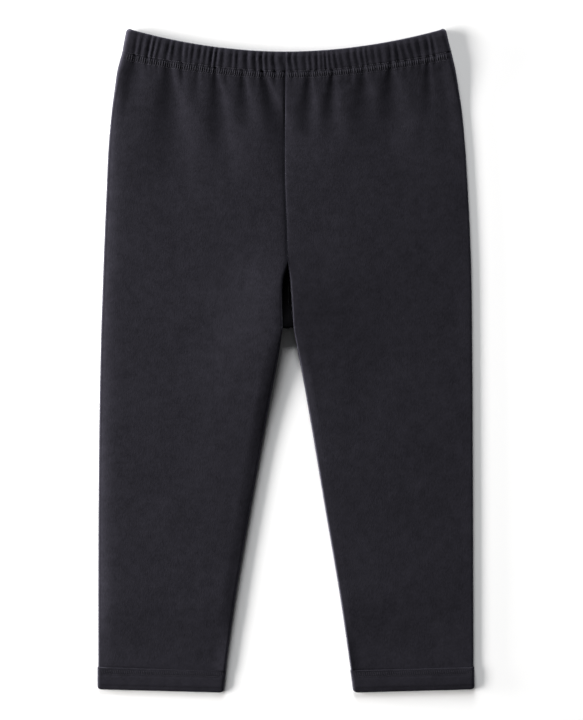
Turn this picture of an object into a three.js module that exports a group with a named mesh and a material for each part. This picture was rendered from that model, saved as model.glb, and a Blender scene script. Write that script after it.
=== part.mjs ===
// A small child's pull-on leggings, laid flat with the front facing up.
// Millimetres. +X is towards the wearer's left, +Y towards the waist and +Z up. The table is at Z = 0.
// Each leg is one cut piece of cloth wrapped round from the front rise to the back rise. Its two edges
// meet at the inseam below the crotch. The waist is a turned casing gathered on elastic, and each ankle
// has a turned-up hem.
import * as THREE from "three";

// Cloth and seams
const CLOTH = 1.4; // brushed stretch jersey, one layer
const CASING = 2.7; // two layers of jersey with the elastic between them
const HEM = 2.2; // two layers of jersey
const SEAM_GAP = 0.3;

// Heights of the garment as it lies
const FOLD_HEIGHT = 4.2; // at a folded edge of a leg
const LEG_HEIGHT = 6.0; // at the middle of a leg
const CASING_HEIGHT = 6.9;
const HEM_HEIGHT = 5.3;
const PILLOW_WIDTH = 12; // how far in from a folded edge the cloth keeps rising

// Levels along the garment, at the centre front and at the side fold
const TOP_EDGE = { centre: 201.0, side: 215.7, bow: 1.75 };
const STITCH_LINE = { centre: 187.5, side: 200.2, bow: 1.75 };
const HEM_LINE = { inner: -200.6, outer: -198.6 };
const HEM_EDGE = { inner: -215.2, outer: -213.2 };
const CROTCH = 21.6; // where the back rise ends
const VALLEY_TOP = 64; // where the two fronts begin to part

// The garment's outline, as distances from its middle line. right and left are the wearer's.
const SIDE_FOLD = [
  { y: 216, right: 102.8, left: 103.8 },
  { y: 207, right: 104.6, left: 105.8 },
  { y: 200, right: 105.9, left: 107.6 },
  { y: 189, right: 108.9, left: 110.2 },
  { y: 176, right: 110.9, left: 112.4 },
  { y: 163, right: 112.7, left: 114.4 },
  { y: 137, right: 115.0, left: 116.8 },
  { y: 111, right: 116.2, left: 118.4 },
  { y: 85, right: 117.3, left: 119.7 },
  { y: 59, right: 118.3, left: 120.6 },
  { y: 7, right: 120.0, left: 121.2 },
  { y: -90, right: 121.4, left: 121.7 },
  { y: -216, right: 121.6, left: 122.1 },
];

// The centre front seam, then the inner edge of each leg. A distance is negative past the middle line.
const INNER_EDGE = [
  { y: 216, seam: 0.6, right: -0.6, left: 0.6 },
  { y: 186, seam: 0.0, right: 0.0, left: 0.0 },
  { y: 125, seam: -0.3, right: 0.3, left: -0.3 },
  { y: 85, seam: 1.0, right: -1.0, left: 1.0 },
  { y: 64, seam: 1.5, right: -1.4, left: 1.6 },
  { y: 53, seam: 1.7, right: 1.3, left: 2.9 },
  { y: 38, seam: 1.8, right: 2.2, left: 4.0 },
  { y: 22, seam: 2.0, right: 1.9, left: 5.3 },
  { y: 12, seam: 2.0, right: 3.1, left: 6.8 },
  { y: 0, seam: 2.0, right: 5.0, left: 9.2 },
  { y: -25, seam: 2.0, right: 9.8, left: 13.8 },
  { y: -97, seam: 2.0, right: 22.8, left: 26.0 },
  { y: -155, seam: 2.0, right: 32.6, left: 35.8 },
  { y: -216, seam: 2.0, right: 40.9, left: 44.6 },
];

// Gathers of the casing: troughs across the front, at = mm from the middle, depth = mm
const GATHERS = [
  { at: -96.5, depth: 0.8 },
  { at: -92.5, depth: 0.7 },
  { at: -87.5, depth: 0.9 },
  { at: -84.5, depth: 0.8 },
  { at: -81, depth: 0.9 },
  { at: -75.5, depth: 1.2 },
  { at: -72, depth: 0.7 },
  { at: -66.5, depth: 0.8 },
  { at: -63, depth: 0.4 },
  { at: -60, depth: 0.7 },
  { at: -55.5, depth: 0.8 },
  { at: -51.5, depth: 0.6 },
  { at: -47, depth: 1.3 },
  { at: -44, depth: 1.1 },
  { at: -40, depth: 1.2 },
  { at: -35, depth: 0.8 },
  { at: -31.5, depth: 0.8 },
  { at: -24.5, depth: 1.2 },
  { at: -19, depth: 1.1 },
  { at: -15, depth: 1.3 },
  { at: -11.5, depth: 0.6 },
  { at: -7, depth: 1.1 },
  { at: -0.8, depth: 0.7 },
  { at: 4, depth: 1.1 },
  { at: 8, depth: 0.8 },
  { at: 13.5, depth: 0.8 },
  { at: 16.5, depth: 0.8 },
  { at: 20, depth: 0.9 },
  { at: 23, depth: 0.4 },
  { at: 25.5, depth: 0.9 },
  { at: 29, depth: 0.7 },
  { at: 33, depth: 0.7 },
  { at: 37, depth: 0.4 },
  { at: 42, depth: 0.8 },
  { at: 46.5, depth: 0.7 },
  { at: 50.5, depth: 0.7 },
  { at: 53.5, depth: 0.5 },
  { at: 58, depth: 0.5 },
  { at: 62, depth: 0.6 },
  { at: 68, depth: 1.0 },
  { at: 72.5, depth: 1.1 },
  { at: 77, depth: 0.6 },
  { at: 81.5, depth: 0.8 },
  { at: 86, depth: 1.1 },
  { at: 91.5, depth: 1.0 },
  { at: 95, depth: 0.8 },
];
const GATHER_WIDTH = 0.85;

// The larger folds that hang from the casing, at = mm from the middle, drift = sideways by their lower end
const FOLDS = [
  { at: -97.5, drift: -2, length: 20, width: 2.0, depth: 0.6 },
  { at: -76.5, drift: 3, length: 56, width: 3.6, depth: 1.2 },
  { at: -67.5, drift: 0, length: 16, width: 1.8, depth: 0.6 },
  { at: -45.5, drift: 4, length: 52, width: 3.0, depth: 1.2 },
  { at: -28, drift: 4, length: 34, width: 2.6, depth: 1.0 },
  { at: -16, drift: 13, length: 64, width: 3.4, depth: 1.5 },
  { at: 5.5, drift: 1, length: 14, width: 1.8, depth: 0.6 },
  { at: 14.5, drift: -1, length: 46, width: 2.8, depth: 1.2 },
  { at: 30, drift: -2, length: 46, width: 2.8, depth: 1.2 },
  { at: 50, drift: 3, length: 40, width: 3.0, depth: 0.9 },
  { at: 68, drift: 2, length: 46, width: 3.2, depth: 0.9 },
  { at: 91, drift: 2, length: 40, width: 2.4, depth: 1.1 },
];

// Value of a table's column at y, on a smooth curve through its rows, which run down in y
function along(table, column, y) {
  const n = table.length;
  if (y >= table[0].y) return table[0][column];
  if (y <= table[n - 1].y) return table[n - 1][column];
  const i = table.findIndex((row) => row.y < y) - 1;
  const slope = (a, b) => (table[b][column] - table[a][column]) / (table[b].y - table[a].y);
  const here = slope(i, i + 1);
  const bounded = (other) => (other * here <= 0 ? 0 : (other + here) / 2);
  const start = i > 0 ? bounded(slope(i - 1, i)) : here;
  const end = i + 2 < n ? bounded(slope(i + 1, i + 2)) : here;
  const h = table[i + 1].y - table[i].y;
  const t = (y - table[i].y) / h;
  return (
    table[i][column] * (1 + 2 * t) * (1 - t) ** 2 +
    table[i + 1][column] * t * t * (3 - 2 * t) +
    h * (start * t * (1 - t) ** 2 - end * t * t * (1 - t))
  );
}

const smooth = (t) => {
  const c = THREE.MathUtils.clamp(t, 0, 1);
  return c * c * (3 - 2 * c);
};
const mix = THREE.MathUtils.lerp;

// How far a surface lies below the middle's height, at a distance in from a folded edge
function edgeDrop(distance, foldHeight, middleHeight) {
  const radius = foldHeight / 2;
  const round = distance < radius ? Math.sqrt(Math.max(0, 1 - (1 - distance / radius) ** 2)) : 1;
  const rise = distance < PILLOW_WIDTH ? 1 - (1 - distance / PILLOW_WIDTH) ** 2 : 1;
  return radius * (1 - round) + (middleHeight - foldHeight) * (1 - rise);
}

// A section's points {x, z} moved in by a depth, square to the path. The path runs outwards over the top,
// and the ways to move its two ends may be given as angles up from the +x direction.
function movedIn(path, depth, endAngles) {
  return path.map((point, i) => {
    const end = i === 0 ? 0 : i === path.length - 1 ? 1 : -1;
    if (endAngles && end >= 0) {
      const angle = endAngles[end];
      return { x: point.x + depth * Math.cos(angle), z: point.z + depth * Math.sin(angle) };
    }
    const before = path[Math.max(0, i - 1)];
    const after = path[Math.min(path.length - 1, i + 1)];
    const dx = after.x - before.x;
    const dz = after.z - before.z;
    const long = Math.hypot(dx, dz) || 1;
    return { x: point.x + (dz / long) * depth, z: point.z - (dx / long) * depth };
  });
}

// A closed solid from rows of points. Each row is a ring; the rows are capped or joined end to end.
function solidFromRings(rings, name, material, joined) {
  const count = rings[0].length;
  const positions = rings.flat().flatMap((p) => [p.x, p.y, p.z]);
  const faces = [];
  const quad = (a, b, c, d) => faces.push(a, b, c, a, c, d);
  const rowCount = joined ? rings.length : rings.length - 1;
  for (let r = 0; r < rowCount; r++) {
    const below = r * count;
    const above = ((r + 1) % rings.length) * count;
    for (let k = 0; k < count; k++) {
      const next = (k + 1) % count;
      quad(below + k, below + next, above + next, above + k);
    }
  }
  if (!joined) {
    // A wrapped strip's ring is its outer path followed by its inner path back again
    const half = count / 2;
    for (const [start, flip] of [[0, true], [(rings.length - 1) * count, false]]) {
      for (let k = 0; k < half - 1; k++) {
        const face = [start + k, start + k + 1, start + count - 2 - k, start + count - 1 - k];
        quad(...(flip ? face.reverse() : face));
      }
    }
  }
  const geometry = new THREE.BufferGeometry();
  geometry.setAttribute("position", new THREE.Float32BufferAttribute(positions, 3));
  geometry.setIndex(signedVolume(positions, faces) < 0 ? faces.reverse() : faces);
  geometry.computeVertexNormals();
  const mesh = new THREE.Mesh(geometry, material);
  mesh.name = name;
  return mesh;
}

function signedVolume(positions, faces) {
  const corner = (i) => new THREE.Vector3().fromArray(positions, faces[i] * 3);
  let six = 0;
  for (let i = 0; i < faces.length; i += 3) {
    six += corner(i).dot(corner(i + 1).cross(corner(i + 2)));
  }
  return six / 6;
}

// Height of the middle of a leg or hip at a level: fuller under the casing and round the crotch, and
// pressed down to the hem
function bodyHeight(y) {
  const underCasing = (CASING_HEIGHT - 0.2 - LEG_HEIGHT) * smooth((y - 120) / 60);
  const atCrotch = 0.7 * Math.exp(-(((y - 38) / 34) ** 2));
  const stitchDip = 0.4 * Math.exp(-Math.max(0, STITCH_LINE.centre - y) / 1.2);
  const atHem = (LEG_HEIGHT - HEM_HEIGHT + 0.2) * smooth((HEM_LINE.inner + 45 - y) / 40);
  return LEG_HEIGHT + underCasing + atCrotch - stitchDip - atHem;
}

// Depth of the folds under the casing at a point of the front, fallen = mm below the stitch line
function foldDepth(x, fallen) {
  return FOLDS.reduce((sum, fold) => {
    const down = fallen / fold.length;
    if (down > 1) return sum;
    const away = (x - fold.at - fold.drift * down ** 1.3) / (fold.width * (1 + 0.6 * down));
    return sum + fold.depth * (1 - down * down) * Math.exp(-away * away);
  }, 0);
}

// Rows of a leg from the stitch line of the casing down to the hem line
const LEG_ROWS = [
  { inner: 187.2, outer: 199.9 },
  { inner: 185.4, outer: 197.8 },
  { inner: 182, outer: 194 },
  { inner: 177, outer: 188.5 },
  { inner: 171, outer: 181.5 },
  { inner: 163.5, outer: 173 },
  { inner: 154, outer: 162 },
  { inner: 142, outer: 147.5 },
  { inner: 128, outer: 130 },
  { inner: 108, outer: 108 },
  { inner: 86, outer: 86 },
  { inner: 70, outer: 70 },
  { inner: 61, outer: 61 },
  { inner: 52, outer: 52 },
  { inner: 42, outer: 42 },
  { inner: 31, outer: 31 },
  { inner: CROTCH, outer: CROTCH },
  { inner: CROTCH - 0.8, outer: CROTCH - 0.8 },
  { inner: 16, outer: 16 },
  { inner: 9, outer: 9 },
  { inner: -3, outer: -3 },
  { inner: -22, outer: -22 },
  { inner: -50, outer: -50 },
  { inner: -85, outer: -85 },
  { inner: -125, outer: -125 },
  { inner: -165, outer: -165 },
  { inner: HEM_LINE.inner + 4, outer: HEM_LINE.outer + 4 },
  { inner: HEM_LINE.inner + SEAM_GAP, outer: HEM_LINE.outer + SEAM_GAP },
];

// Shares of the way across a leg's front where its section has points: three at each fold, and some between
function frontShares(name, sign) {
  const width = along(SIDE_FOLD, name, 178);
  const own = FOLDS.filter((fold) => Math.sign(fold.at) === sign);
  const shares = own.flatMap(({ at, drift, width: across }) =>
    [-1.3, 0, 1.3].map((step) => ({
      top: (Math.abs(at) + step * across * 0.9) / width,
      low: (Math.abs(at + drift) + step * across * 1.4) / width,
    })),
  );
  for (const share of [0.34, 0.5, 0.56, 0.73, 0.78, 0.95]) shares.push({ top: share, low: share });
  shares.sort((a, b) => a.top - b.top);
  const lows = shares.map((share) => share.low).sort((a, b) => a - b);
  return shares.map((share, i) => ({ top: share.top, low: lows[i] }));
}

// One leg: a strip of cloth wrapped from the front inner edge, over the side fold, to the back inner edge
function legPiece(name, side, sign, material) {
  const shares = frontShares(side, sign);
  const quarter = [0.25, 0.5, 0.75, 1].map((t) => (t * Math.PI) / 2);
  const innerSteps = [0, ...quarter.map((angle) => 1 - Math.cos(angle))];
  const rings = LEG_ROWS.map(({ inner: yInner, outer: yOuter }) => {
    const seam = along(INNER_EDGE, "seam", yInner);
    const parted = smooth((VALLEY_TOP - yInner) / (VALLEY_TOP - CROTCH - 8));
    const fold = along(SIDE_FOLD, side, yOuter);
    const inRise = yInner >= CROTCH;
    const legEdge = along(INNER_EDGE, side, yInner);
    const seamEdge = sign * seam + SEAM_GAP / 2;
    const frontEdge = yInner > VALLEY_TOP ? seamEdge : Math.max(legEdge, seamEdge);
    const closed = smooth((CROTCH - 0.8 - yInner) / 10);
    const backEdge = inRise ? seamEdge : legEdge;
    const radius = FOLD_HEIGHT / 2;
    const bow = mix(1, STITCH_LINE.bow, smooth((yInner - 100) / 60));
    const span = fold - frontEdge;
    const heightAt = (across, fallen) => {
      const middle = bodyHeight(yInner);
      const fromSide = fold - across;
      const fromInner = across - frontEdge;
      const groove = 1.0 * Math.exp(-fromInner / 1.3) * (1 - parted);
      const sideDrop = edgeDrop(fromSide, FOLD_HEIGHT, middle);
      const innerDrop = parted * edgeDrop(fromInner, FOLD_HEIGHT, middle);
      return middle - sideDrop - innerDrop - groove - foldDepth(sign * across, fallen);
    };
    // Front, from the inner edge out to the start of the side fold
    const acrosses = innerSteps.map((t) => frontEdge + t * radius);
    const first = frontEdge + radius;
    const last = fold - radius;
    const fallen = STITCH_LINE.centre - yInner;
    for (const { top, low } of shares) {
      const across = fold * mix(top, low, THREE.MathUtils.clamp(fallen / 40, 0, 1));
      acrosses.push(THREE.MathUtils.clamp(across, mix(first, last, 0.012), mix(first, last, 0.985)));
    }
    for (let i = innerSteps.length + 1; i < acrosses.length; i++) {
      acrosses[i] = Math.max(acrosses[i], acrosses[i - 1] + 0.35);
    }
    acrosses.push(last);
    const path = acrosses.map((across) => ({ x: across, z: heightAt(across, fallen) }));
    path[0].z += parted * (inRise ? CLOTH + SEAM_GAP - radius : SEAM_GAP / 2);
    // The side fold, then the flat back, then the back inner edge
    const rim = heightAt(last, fallen);
    for (const angle of quarter) {
      path.push({ x: last + radius * Math.sin(angle), z: radius + (rim - radius) * Math.cos(angle) });
    }
    for (const angle of quarter.slice(0, 3)) {
      path.push({ x: last + radius * Math.cos(angle), z: radius - radius * Math.sin(angle) });
    }
    const backShoulder = backEdge + radius;
    for (const t of [0, 0.25, 0.5, 0.75, 1]) path.push({ x: mix(last, backShoulder, t), z: 0 });
    for (const angle of quarter) {
      const lifted = radius * (1 - Math.cos(angle)) - (angle > 1.5 ? SEAM_GAP / 2 : 0);
      path.push({ x: backShoulder - radius * Math.sin(angle), z: closed * Math.max(0, lifted) });
    }
    // The two ends are cut square across the seam in the rise and meet face to face at the inseam
    const inside = movedIn(path, CLOTH, [(parted - 1) * (Math.PI / 2), (1 - closed) * (Math.PI / 2)]);
    const place = ({ x, z }) => {
      const share = THREE.MathUtils.clamp((x - frontEdge) / span, 0, 1);
      return { x: sign * x, y: mix(yInner, yOuter, share ** bow), z };
    };
    return [...path.map(place), ...inside.reverse().map(place)];
  });
  return solidFromRings(rings, name, material, false);
}

// The path round a flattened ring at one row: over the front from fold to fold, and back under
function ringPath(low, high, height, acrosses, dip) {
  const radius = height / 2;
  const middle = (low + high) / 2;
  const half = (high - low) / 2 - radius;
  const front = acrosses.map((t) => ({ x: middle + half * t, z: height - dip(middle + half * t) }));
  const back = [0.75, 0.5, 0.25, 0, -0.25, -0.5, -0.75, -1].map((t) => ({ x: middle + half * t, z: 0 }));
  const fold = (x, from, steps) =>
    steps.map((step) => {
      const angle = from - (step * Math.PI) / 8;
      return { x: x + radius * Math.cos(angle), z: radius + radius * Math.sin(angle) };
    });
  const highFold = fold(high - radius, Math.PI / 2, [1, 2, 3, 4, 5, 6, 7, 8]);
  const lowFold = fold(low + radius, -Math.PI / 2, [1, 2, 3, 4, 5, 6, 7]);
  return [...front, ...highFold, ...back, ...lowFold];
}

// Rows round the turned edge of a doubled cloth: v runs from the sewn line to the turned edge,
// depth from the outside of the wall to its inside, and fade is how much of the gathers is left
const TURNED_EDGE = [
  { v: 0, depth: 0, fade: 0.55, inset: 0 },
  { v: 0.16, depth: 0, fade: 0.8, inset: 0 },
  { v: 0.5, depth: 0, fade: 1, inset: 0 },
  { v: 0.85, depth: 0, fade: 0.85, inset: 0 },
  { v: 0.96, depth: 0.18, fade: 0.5, inset: 0.3 },
  { v: 1, depth: 0.5, fade: 0.2, inset: 0.9 },
  { v: 0.96, depth: 0.82, fade: 0, inset: 0.3 },
  { v: 0.5, depth: 1, fade: 0, inset: 0 },
  { v: 0, depth: 1, fade: 0, inset: 0 },
];

// A turned, doubled ring of cloth. edges(v) gives its two side folds, and levelAt(x, low, high, v) its
// level along Y
function turnedRing({ name, material, wall, height, acrosses, edges, levelAt, dipAt }) {
  const rings = TURNED_EDGE.map(({ v, depth, fade, inset }) => {
    const { low, high } = edges(v);
    const path = ringPath(low + inset, high - inset, height, acrosses, (x) => fade * dipAt(x));
    const wrapped = [path.at(-1), ...path, path[0]];
    const inside = movedIn(wrapped, depth * wall).slice(1, -1);
    return inside.map(({ x, z }) => ({ x, y: levelAt(x, low, high, v), z }));
  });
  return solidFromRings(rings, name, material, true);
}

// Points across the casing's front: the two sides and the bottom of each gather, and the ridge after it
function casingAcrosses(middle, half) {
  const stops = GATHERS.flatMap(({ at }, i) => {
    const before = i > 0 ? at - GATHERS[i - 1].at : 4;
    const after = i + 1 < GATHERS.length ? GATHERS[i + 1].at - at : 4;
    return [at - before / 4, at, at + after / 4, at + after / 2];
  });
  return [-1, ...stops.map((x) => (x - middle) / half), 1];
}

function waistCasing(material) {
  const halfAt = (side, v) => along(SIDE_FOLD, side, mix(STITCH_LINE.side, TOP_EDGE.side, v));
  const [right, left] = ["right", "left"].map((side) => halfAt(side, 0.5));
  const dipAt = (x) =>
    GATHERS.reduce((sum, { at, depth }) => sum + depth * Math.exp(-(((x - at) / GATHER_WIDTH) ** 2)), 0);
  const seam = along(INNER_EDGE, "seam", STITCH_LINE.centre);
  const level = (line, x, low, high) => {
    const share = x < seam ? (x - seam) / (low - seam) : (x - seam) / (high - seam);
    return mix(line.centre, line.side, share ** line.bow);
  };
  return turnedRing({
    name: "waistband",
    material,
    wall: CASING,
    height: CASING_HEIGHT,
    acrosses: casingAcrosses((left - right) / 2, (left + right) / 2 - CASING_HEIGHT / 2),
    edges: (v) => ({ low: -halfAt("right", v), high: halfAt("left", v) }),
    levelAt: (x, low, high, v) => mix(level(STITCH_LINE, x, low, high), level(TOP_EDGE, x, low, high), v),
    dipAt,
  });
}

function ankleHem(name, side, sign, material) {
  const edges = (v) => {
    const y = mix(HEM_LINE.outer, HEM_EDGE.outer, v);
    const ends = [sign * along(INNER_EDGE, side, y), sign * (along(SIDE_FOLD, side, y) + 0.5)];
    return { low: Math.min(...ends), high: Math.max(...ends) };
  };
  const across = [-1, -0.85, -0.6, -0.3, 0, 0.3, 0.6, 0.85, 1];
  return turnedRing({
    name,
    material,
    wall: HEM,
    height: HEM_HEIGHT,
    acrosses: across,
    edges,
    levelAt: (x, low, high, v) => {
      const share = (x - low) / (high - low);
      const toOuter = sign > 0 ? share : 1 - share;
      const line = mix(HEM_LINE.inner, HEM_LINE.outer, toOuter);
      return mix(line, mix(HEM_EDGE.inner, HEM_EDGE.outer, toOuter), v);
    },
    dipAt: () => 0,
  });
}

const jersey = new THREE.MeshStandardMaterial({ name: "jersey", color: 0x29282e, roughness: 0.95 });

const leggings = new THREE.Group();
leggings.name = "leggings";
leggings.add(
  legPiece("leg_right", "right", -1, jersey),
  legPiece("leg_left", "left", 1, jersey),
  waistCasing(jersey),
  ankleHem("hem_right", "right", -1, jersey),
  ankleHem("hem_left", "left", 1, jersey),
);

export default leggings;
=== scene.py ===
"""A small child's pull-on leggings in charcoal brushed jersey, laid flat with the front up.

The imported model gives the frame. Each of its solids is replaced by a finer cloth shell of the same
form, with the gathers, folds, seams and stitches of the real garment. Lengths are in millimetres until
a mesh is made. +X is towards the wearer's left, +Y towards the waist and +Z up from the table.
"""

import dataclasses
import logging
import math
from dataclasses import dataclass
from enum import Enum
from typing import Callable, Sequence

import bpy
import numpy as np
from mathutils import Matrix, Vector


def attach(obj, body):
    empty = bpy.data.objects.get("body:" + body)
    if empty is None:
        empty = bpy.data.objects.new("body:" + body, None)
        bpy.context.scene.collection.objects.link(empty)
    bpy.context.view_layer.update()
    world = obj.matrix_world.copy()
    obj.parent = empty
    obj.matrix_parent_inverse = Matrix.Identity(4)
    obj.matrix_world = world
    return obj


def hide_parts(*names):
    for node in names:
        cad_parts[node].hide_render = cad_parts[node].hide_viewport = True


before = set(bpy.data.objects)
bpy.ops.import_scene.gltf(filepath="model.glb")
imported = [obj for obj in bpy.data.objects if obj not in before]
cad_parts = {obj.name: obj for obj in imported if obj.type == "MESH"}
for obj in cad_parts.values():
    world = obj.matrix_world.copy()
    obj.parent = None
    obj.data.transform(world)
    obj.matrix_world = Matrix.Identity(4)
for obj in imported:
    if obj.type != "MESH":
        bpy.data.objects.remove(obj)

LOG = logging.getLogger("leggings")
MM = 0.001

Number = np.ndarray | float
Triple = tuple[float, float, float]
Colour = Triple
Surface = Callable[[np.ndarray, np.ndarray], np.ndarray]
Socket = bpy.types.NodeSocket

# Sizes that the legs, the casing, the hems and their stitching share
SEAM_GAP = 0.05
STITCH_HEIGHT = 7.2
HEM_HEIGHT = 4.1
STITCH_GAUGE = 4.6
BACK_THREAD = 0.28
BACK_CHANNEL = 0.3

# How the gathers and folds run. The garment is TO_STITCH_LINE times as wide at the stitch line as at half
# the casing's height. SWAY and UNEVEN are the strengths of the noise in the gathers' place and depth.
TO_STITCH_LINE = 1.016
FADE_OUT = 5.0
SWAY = 0.8
UNEVEN = 0.5
RIDGE_POWER = 1.7
FOLD_POWER = 1.3


class Side(Enum):
    """A side of the wearer, with the sign of its X."""

    RIGHT = -1
    LEFT = 1

    @property
    def word(self) -> str:
        """Its name in small letters, as in the tables' columns and the names of the pieces."""
        return self.name.lower()


@dataclass(frozen=True)
class EdgeLine:
    """A line across the garment: its level at the centre and at the side fold, and how it bows between."""

    centre: float
    side: float
    bow: float = 1.0

    def at(self, share: Number) -> Number:
        """Level at a share of the way to the side fold, raised to the power of the bow."""
        return mix(self.centre, self.side, share**self.bow)


TOP_EDGE = EdgeLine(centre=200.8, side=215.5, bow=1.95)
STITCH_LINE = EdgeLine(centre=187.6, side=200.3, bow=1.75)
HEM_LINE = EdgeLine(centre=-200.6, side=-198.6)
HEM_EDGE = EdgeLine(centre=-215.2, side=-213.2)


@dataclass(frozen=True)
class SideRow:
    """Distances of the two side folds from the middle line at a level."""

    y: float
    right: float
    left: float


@dataclass(frozen=True)
class InnerRow:
    """The centre seam and the inner edge of each leg at a level, as distances from the middle line."""

    y: float
    seam: float
    right: float
    left: float


SIDE_FOLD = (
    SideRow(216, 102.8, 103.8),
    SideRow(207, 104.6, 105.8),
    SideRow(200, 105.9, 107.6),
    SideRow(189, 108.9, 110.2),
    SideRow(176, 110.9, 112.4),
    SideRow(163, 112.7, 114.4),
    SideRow(137, 115.0, 116.8),
    SideRow(111, 116.2, 118.4),
    SideRow(85, 117.3, 119.7),
    SideRow(59, 118.3, 120.6),
    SideRow(7, 120.0, 121.2),
    SideRow(-90, 121.4, 121.7),
    SideRow(-216, 121.6, 122.1),
)

INNER_EDGE = (
    InnerRow(216, 0.6, -0.6, 0.6),
    InnerRow(186, 0.0, 0.0, 0.0),
    InnerRow(125, -0.3, 0.3, -0.3),
    InnerRow(85, 1.0, -1.0, 1.0),
    InnerRow(64, 1.5, -1.4, 1.6),
    InnerRow(53, 1.7, 1.3, 2.9),
    InnerRow(38, 1.8, 2.2, 4.0),
    InnerRow(22, 2.0, 1.9, 5.3),
    InnerRow(12, 2.0, 3.1, 6.8),
    InnerRow(0, 2.0, 5.0, 9.2),
    InnerRow(-25, 2.0, 9.8, 13.8),
    InnerRow(-97, 2.0, 22.8, 26.0),
    InnerRow(-155, 2.0, 32.6, 35.8),
    InnerRow(-216, 2.0, 40.9, 44.6),
)


@dataclass(frozen=True)
class Gather:
    """One trough of the gathered casing: its place from the middle at half height, and its depth."""

    at: float
    depth: float


GATHERS = (
    Gather(-96.5, 0.8), Gather(-92.5, 0.7), Gather(-87.5, 0.9), Gather(-84.5, 0.8), Gather(-81.0, 0.9),
    Gather(-75.5, 1.2), Gather(-72.0, 0.7), Gather(-66.5, 0.8), Gather(-63.0, 0.4), Gather(-60.0, 0.7),
    Gather(-55.5, 0.8), Gather(-51.5, 0.6), Gather(-47.0, 1.3), Gather(-44.0, 1.1), Gather(-40.0, 1.2),
    Gather(-35.0, 0.8), Gather(-31.5, 0.8), Gather(-24.5, 1.2), Gather(-19.0, 1.1), Gather(-15.0, 1.3),
    Gather(-11.5, 0.6), Gather(-7.0, 1.1), Gather(-0.8, 0.7), Gather(4.0, 1.1), Gather(8.0, 0.8),
    Gather(13.5, 0.8), Gather(16.5, 0.8), Gather(20.0, 0.9), Gather(23.0, 0.4), Gather(25.5, 0.9),
    Gather(29.0, 0.7), Gather(33.0, 0.7), Gather(37.0, 0.4), Gather(42.0, 0.8), Gather(46.5, 0.7),
    Gather(50.5, 0.7), Gather(53.5, 0.5), Gather(58.0, 0.5), Gather(62.0, 0.6), Gather(68.0, 1.0),
    Gather(72.5, 1.1), Gather(77.0, 0.6), Gather(81.5, 0.8), Gather(86.0, 1.1), Gather(91.5, 1.0),
    Gather(95.0, 0.8),
)


@dataclass(frozen=True)
class Fold:
    """A trough that hangs from the casing.

    Its place is given from the middle, at the stitch line, and drift is how far it has moved sideways
    at its lower end. It starts narrow and widens by spread for each millimetre down.
    """

    at: float
    drift: float
    length: float
    start: float
    spread: float
    steep: float


FOLDS = (
    Fold(-97.5, 0.0, 9, 0.9, 0.05, 0.50),
    Fold(-96.5, -2.0, 44, 1.6, 0.26, 0.20),
    Fold(-89.5, 0.0, 7, 0.9, 0.05, 0.35),
    Fold(-75.5, 8.0, 88, 1.2, 0.27, 0.44),
    Fold(-66.5, 0.0, 20, 0.9, 0.10, 0.50),
    Fold(-57.0, 0.0, 26, 0.9, 0.12, 0.35),
    Fold(-45.5, 9.0, 80, 1.1, 0.18, 0.52),
    Fold(-38.0, 0.0, 15, 0.9, 0.08, 0.45),
    Fold(-28.0, 5.0, 44, 1.1, 0.17, 0.60),
    Fold(-15.3, 20.5, 62, 1.2, 0.17, 0.72),
    Fold(-6.5, 0.0, 12, 0.8, 0.05, 0.45),
    Fold(5.5, 0.0, 12, 0.8, 0.05, 0.40),
    Fold(15.5, -1.0, 60, 1.0, 0.16, 0.58),
    Fold(19.5, 0.0, 8, 0.8, 0.05, 0.40),
    Fold(30.8, -2.0, 58, 1.1, 0.16, 0.58),
    Fold(42.5, 0.0, 13, 1.0, 0.08, 0.22),
    Fold(50.0, 5.0, 56, 1.1, 0.24, 0.40),
    Fold(68.0, 3.0, 66, 1.1, 0.26, 0.42),
    Fold(78.0, 0.0, 8, 0.8, 0.05, 0.30),
    Fold(92.0, 2.0, 40, 1.0, 0.10, 0.45),
    Fold(97.0, 0.0, 8, 0.8, 0.05, 0.40),
)


def smooth(t: Number) -> Number:
    """Eases from 0 to 1 as 3 t squared less 2 t cubed, and is held at both ends."""
    c = np.clip(t, 0.0, 1.0)
    return c * c * (3.0 - 2.0 * c)


def mix(a: Number, b: Number, t: Number) -> Number:
    """Goes straight from a at t = 0 to b at t = 1."""
    return a + (b - a) * t


def bell(t: Number) -> Number:
    """A bell curve: e to the power of minus t squared."""
    return np.exp(-(t * t))


class LevelTable:
    """Measures of the garment at levels along Y, joined by smooth curves that don't overshoot."""

    def __init__(self, rows: Sequence[SideRow | InnerRow]) -> None:
        """Keeps the rows from the lowest level up.

        Args:
            rows: The table, from the highest level down.
        """
        values = np.array([dataclasses.astuple(row) for row in rows])[::-1]
        names = [field.name for field in dataclasses.fields(rows[0])]
        self._y = values[:, 0]
        self._columns = {name: values[:, i] for i, name in enumerate(names)}

    def at(self, name: str, y: Number) -> Number:
        """Reads a column at any level.

        Args:
            name: The column.
            y: Levels.

        Returns:
            The column's value there, from a cubic through each pair of rows. A row's slope is the mean
            of the slopes on its two sides, or zero where the column turns back.
        """
        value = self._columns[name]
        step = np.diff(self._y)
        slope = np.diff(value) / step
        inner = np.where(slope[1:] * slope[:-1] <= 0, 0.0, (slope[1:] + slope[:-1]) / 2)
        tangent = np.concatenate(([slope[0]], inner, [slope[-1]]))
        level = np.clip(y, self._y[0], self._y[-1])
        i = np.clip(np.searchsorted(self._y, level, side="right") - 1, 0, len(step) - 1)
        t = (level - self._y[i]) / step[i]
        bend = step[i] * t * (1 - t) * (tangent[i] * (1 - t) - tangent[i + 1] * t)
        return mix(value[i], value[i + 1], smooth(t)) + bend


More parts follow.
